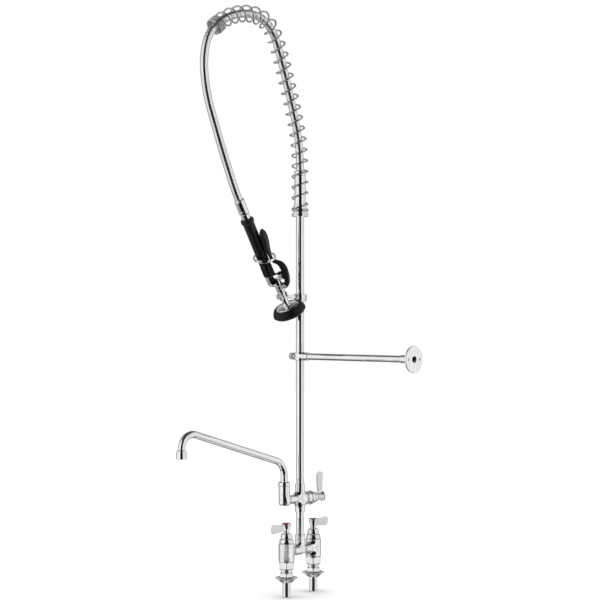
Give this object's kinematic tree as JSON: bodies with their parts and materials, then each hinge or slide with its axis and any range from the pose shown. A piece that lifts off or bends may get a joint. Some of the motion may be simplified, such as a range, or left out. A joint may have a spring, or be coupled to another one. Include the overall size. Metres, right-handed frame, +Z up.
{
  "type": "pre rinse faucet",
  "caption": "Deck-mounted commercial pre-rinse faucet: bridge base with two lever valves, add-on swing spout, tall riser, wall bracket, sprung hose and hooked trigger spray valve.",
  "frame": {"origin": "on the deck plane under the two deck flanges, midway between the two inlet shanks", "axes": "+X from the hot inlet to the cold inlet, -Y towards the user, +Z up along the riser"},
  "size_m": [0.4561, 0.3898, 1.278],
  "materials": {
    "chrome": "polished chrome plate",
    "stainless": "machined stainless steel",
    "hose_steel": "polished ribbed stainless sheath",
    "spring_steel": "chromed spring wire",
    "brass": "machined brass",
    "rubber": "moulded rubber",
    "grip_rubber": "matt moulded rubber",
    "black_plastic": "satin moulded plastic",
    "ceramic": "lapped ceramic",
    "red_plastic": "gloss",
    "blue_plastic": "gloss",
    "grey_plastic": "gloss"
  },
  "bodies": {
    "root": {"base_body": "chrome", "inlet_shanks": "chrome", "coupling_nuts": "chrome", "shank_washers": "rubber", "lock_nuts": "chrome", "deck_flanges": "chrome", "valve_bonnets": "chrome", "valve_seats": "ceramic", "seat_seals": "rubber", "lower_nipple": "chrome", "addon_body": "chrome", "addon_bonnet": "chrome", "addon_seat": "ceramic", "spout_nut": "chrome", "riser_pipe": "chrome", "spring_collar": "chrome", "hose_cuff": "chrome", "hose": "hose_steel", "spring_guard": "spring_steel", "hook": "chrome"},
    "hot_lever": {"hot_stem": "brass", "hot_disc": "ceramic", "hot_handle": "chrome", "hot_index": "red_plastic", "hot_screw": "stainless"},
    "cold_lever": {"cold_stem": "brass", "cold_disc": "ceramic", "cold_handle": "chrome", "cold_index": "blue_plastic", "cold_screw": "stainless"},
    "addon_lever": {"addon_stem": "brass", "addon_disc": "ceramic", "addon_handle": "chrome", "addon_index": "grey_plastic", "addon_screw": "stainless"},
    "swing_spout": {"spout_tube": "chrome", "spout_orings": "rubber", "spout_outlet": "chrome", "outlet_screen": "stainless"},
    "wall_bracket": {"bracket_clamp": "chrome", "bracket_tube": "chrome", "wall_flange": "chrome"},
    "bracket_thumb_screw": {"bracket_screw": "chrome"},
    "hook_thumb_screw": {"hook_screw": "chrome"},
    "spray_valve": {"hose_ferrule": "chrome", "hose_nut": "chrome", "handle_tube": "stainless", "grip": "grip_rubber", "grip_cap": "grip_rubber", "spray_body": "chrome", "spray_bonnet": "chrome", "valve_spring": "stainless", "trigger_pin": "stainless", "spray_face": "chrome", "face_plate": "stainless", "face_screw": "stainless", "bumper": "rubber"},
    "trigger_lever": {"trigger": "black_plastic"},
    "valve_plunger": {"spray_plunger": "stainless"},
    "hold_open_ring": {"hold_ring": "chrome"}
  },
  "joints": [
    {"name": "hot_turn", "type": "hinge", "parent": "root", "child": "hot_lever", "pos_m": [-0.0508, 0, 0.12], "axis": [0, 0, 1], "range_deg": [0, 90]},
    {"name": "cold_turn", "type": "hinge", "parent": "root", "child": "cold_lever", "pos_m": [0.0508, 0, 0.12], "axis": [0, 0, -1], "range_deg": [0, 90]},
    {"name": "addon_turn", "type": "hinge", "parent": "root", "child": "addon_lever", "pos_m": [0.05909, -0.01042, 0.178], "axis": [0.9848, -0.1736, 0], "range_deg": [0, 90]},
    {"name": "spout_swing", "type": "hinge", "parent": "root", "child": "swing_spout", "pos_m": [-0.04776, 0.00842, 0.22], "axis": [0, 0, 1], "range_deg": [-150, 150]},
    {"name": "bracket_swing", "type": "hinge", "parent": "root", "child": "wall_bracket", "pos_m": [0, 0, 0.491], "axis": [0, 0, 1], "continuous": true},
    {"name": "bracket_screw_turn", "type": "hinge", "parent": "wall_bracket", "child": "bracket_thumb_screw", "pos_m": [0.00209, 0.01989, 0.491], "axis": [0.1045, 0.9945, 0], "range_deg": [0, 360]},
    {"name": "hook_screw_turn", "type": "hinge", "parent": "root", "child": "hook_thumb_screw", "pos_m": [0.01477, -0.00261, 0.62], "axis": [0.9848, -0.1736, 0], "range_deg": [0, 360]},
    {"name": "spray_unhook", "type": "slide", "parent": "root", "child": "spray_valve", "axis": [-0.1736, -0.9848, 0], "range_m": [0, 0.06]},
    {"name": "trigger_squeeze", "type": "hinge", "parent": "spray_valve", "child": "trigger_lever", "pos_m": [-0.07327, -0.0145, 0.64766], "axis": [-0.8502, -0.2792, -0.4463], "range_deg": [0, 2.8], "stiffness_Nm_per_rad": 4, "springref_deg": -1.72},
    {"name": "plunger_travel", "type": "slide", "parent": "spray_valve", "child": "valve_plunger", "axis": [-0.2049, 0.9564, -0.2081], "range_m": [0, 0.0012]},
    {"name": "ring_slide", "type": "slide", "parent": "spray_valve", "child": "hold_open_ring", "axis": [-0.4849, 0.0855, 0.8704], "range_m": [0, 0.015]}
  ],
  "couplings": [
    {"joint": "plunger_travel", "follows": "trigger_squeeze", "m_per_rad": 0.024}
  ]
}
